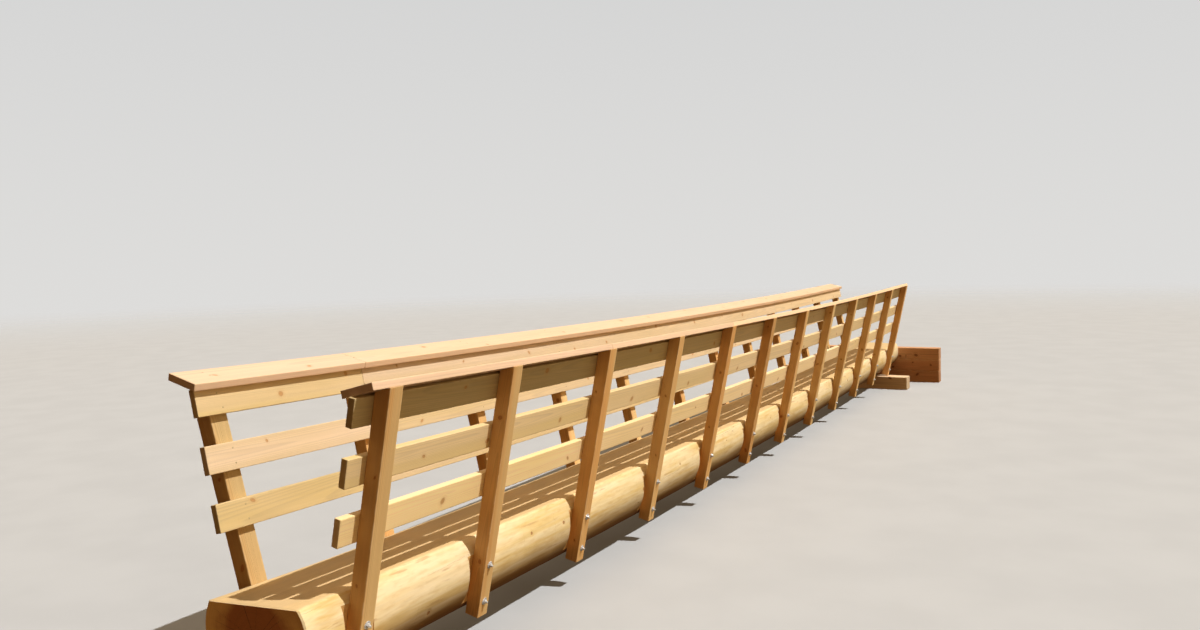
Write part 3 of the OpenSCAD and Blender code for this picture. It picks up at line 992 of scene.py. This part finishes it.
def make_fastenings():
    for side, word in ((LEFT, "left"), (RIGHT, "right")):
        outward = (0.0, side * math.cos(LEAN), -math.sin(LEAN))
        inward = tuple(-v for v in outward)
        upward = (0.0, -side * math.sin(CAP_SLOPE), math.cos(CAP_SLOPE))
        bolts, screws = [], []
        draw = random.Random(40 + side)
        for number, foot in enumerate(POSTS[side], 1):
            for h in BOLT_HEIGHTS:
                y, z = lean_pt(post_shape(side, number)[0], h + draw.uniform(-0.006, 0.006))
                x = post_x(side, number, h) + draw.uniform(-0.004, 0.004)
                bolts.append(((x, side * y, walk_z(foot) + z), outward))
            for height in (BOTTOM_RAIL, TOP_RAIL - RAIL_PITCH, TOP_RAIL):
                for step in RAIL_SCREWS:
                    x = post_x(side, number, height + step) + draw.uniform(-0.012, 0.012)
                    y, z = lean_pt(RAIL_INNER, height + step + draw.uniform(-0.004, 0.004))
                    screws.append(((x, side * y, walk_z(x) + z), inward))
            for u in CAP_SCREWS:
                x = post_x(side, number, RAIL_TOP) + draw.uniform(-0.014, 0.014)
                y, z = cap_pt(side, CAP_REACH[side] + u + draw.uniform(-0.004, 0.004), BOARD_T)
                screws.append(((x, side * y, walk_z(x) + z), upward))
        fasten(f"{word}_bolts", "steel", bolts, bolt_parts, 60 + side)
        fasten(f"{word}_screws", "screw", screws, screw_parts, 80 + side)


# Floor, backdrop, light and camera, with the fill light's colours by where it comes from
FLOOR_RADIUS = 60.0
FLOOR_FADE = (20.0, 55.0)
BACKDROP_RADIUS = 90.0
FILL_NEAR = (0.14, 0.050, 0.008, 1)
FILL_FAR = (0.60, 0.47, 0.33, 1)
FILL_RIGHT = (1.00, 0.74, 0.39, 1)
FILL_ABOVE_NEAR = (0.21, 0.105, 0.030, 1)
FILL_ABOVE_FAR = (0.53, 0.43, 0.30, 1)
FILL_BELOW = (0.07, 0.040, 0.020, 1)
SUN_STRENGTH = 3.5
SUN_WIDTH = math.radians(0.6)
SUN_COLOUR = (1.0, 0.95, 0.86)
SUN_TRAVEL = (-0.14, 0.65, -1.0)
PHOTO_WIDTH = 1200
SENSOR = 36.0
FOCAL = 919.1
EYE = (-3.1455, -3.4008, 1.5628)
YAW, PITCH, ROLL = (math.radians(v) for v in (29.0001, -3.484, -1.4938))


def stage(piece, name, material):
    """Sets up a piece of the stage, which shows but throws no light on the object."""
    piece.name = name
    piece.data.materials.append(material)
    piece.visible_diffuse = False
    piece.visible_glossy = False
    piece.visible_transmission = False


def make_floor():
    """A pale floor that fades out into the backdrop."""
    s = Shade(bpy.data.materials.new("studio_floor"))
    place = s.node("ShaderNodeTexCoord", {}).outputs["Object"]
    cloth = s.noise(place, (1.5, 1.5, 1.5), 3.0)
    colour = s.mix(s.ease(cloth, 0.3, 0.7), rgb(188, 193, 201), rgb(192, 197, 205))
    inputs = {"Base Color": colour, "Roughness": 0.9, "Specular IOR Level": 0.1}
    solid = s.node("ShaderNodeBsdfPrincipled", inputs).outputs[0]
    clear = s.node("ShaderNodeBsdfTransparent", {}).outputs[0]
    fade = s.ease(s.size(place), *FLOOR_FADE)
    mixed = s.node("ShaderNodeMixShader", {0: fade, 1: solid, 2: clear}).outputs[0]
    s.node("ShaderNodeOutputMaterial", {"Surface": mixed})
    bpy.ops.mesh.primitive_circle_add(vertices=96, radius=FLOOR_RADIUS, fill_type="NGON",
                                      location=(0, 0, 0))
    stage(bpy.context.object, "studio_floor", s.owner)


def make_backdrop():
    """A dome that glows a little less with height and lets the sun through."""
    s = Shade(bpy.data.materials.new("studio_backdrop"))
    height = s.split(s.node("ShaderNodeTexCoord", {}).outputs["Object"])[2]
    colour = s.mix(s.ease(height, -8.0, 60.0), rgb(222, 221, 219), rgb(206, 207, 208))
    glow = s.node("ShaderNodeEmission", {"Color": colour, "Strength": 1.0}).outputs[0]
    s.node("ShaderNodeOutputMaterial", {"Surface": glow})
    bpy.ops.mesh.primitive_uv_sphere_add(segments=64, ring_count=32, radius=BACKDROP_RADIUS,
                                         location=(0, 0, 0))
    stage(bpy.context.object, "studio_backdrop", s.owner)
    bpy.context.object.visible_shadow = False


def make_light():
    """A sunny key light from high on the right, and a soft fill that is dim and warm from the near end."""
    world = bpy.data.worlds.new("studio")
    bpy.context.scene.world = world
    s = Shade(world)
    ahead, across, height = s.split(s.node("ShaderNodeTexCoord", {}).outputs["Generated"])
    level = s.mix(s.ease(ahead, -0.35, 0.9), FILL_NEAR, FILL_FAR)
    beside = s.times(s.ease(across, 0.0, -0.9, 0.0, 0.95), s.ease(ahead, -0.75, -0.25))
    level = s.mix(beside, level, FILL_RIGHT)
    zenith = s.mix(s.ease(ahead, -0.7, 0.3), FILL_ABOVE_NEAR, FILL_ABOVE_FAR)
    colour = s.mix(s.ease(height, 0.05, 0.75), level, zenith)
    colour = s.mix(s.ease(height, -0.05, -0.35), colour, FILL_BELOW)
    sky = s.node("ShaderNodeBackground", {"Color": colour, "Strength": 1.0})
    s.node("ShaderNodeOutputWorld", {"Surface": sky.outputs[0]})
    key = bpy.data.lights.new("key", "SUN")
    key.energy = SUN_STRENGTH
    key.angle = SUN_WIDTH
    key.color = SUN_COLOUR
    lamp = bpy.data.objects.new("key", key)
    lamp.rotation_euler = Vector(SUN_TRAVEL).to_track_quat("-Z", "Y").to_euler()
    bpy.context.scene.collection.objects.link(lamp)
    bpy.context.scene.view_settings.view_transform = "Standard"


def make_camera():
    """The photograph's camera: EYE is measured from the first right post on the walkway."""
    ahead = Vector((math.cos(PITCH) * math.cos(YAW), math.cos(PITCH) * math.sin(YAW), math.sin(PITCH)))
    level = Vector((math.sin(YAW), -math.cos(YAW), 0.0))
    upright = level.cross(ahead)
    right = math.cos(ROLL) * level + math.sin(ROLL) * upright
    top = -math.sin(ROLL) * level + math.cos(ROLL) * upright
    data = bpy.data.cameras.new("photo_camera")
    data.sensor_width = SENSOR
    data.lens = FOCAL / PHOTO_WIDTH * SENSOR
    data.clip_end = 500
    camera = bpy.data.objects.new("photo_camera", data)
    spot = Vector((X_FIRST + EYE[0], EYE[1], SILL_H + WALK_HEIGHT + EYE[2]))
    axes = Matrix((right, top, -ahead)).transposed().to_4x4()
    camera.matrix_world = Matrix.Translation(spot) @ axes
    bpy.context.scene.collection.objects.link(camera)
    bpy.context.scene.camera = camera


make_posts()
make_boards()
make_abutments()
make_log()
make_fastenings()
make_floor()
make_backdrop()
make_light()
make_camera()
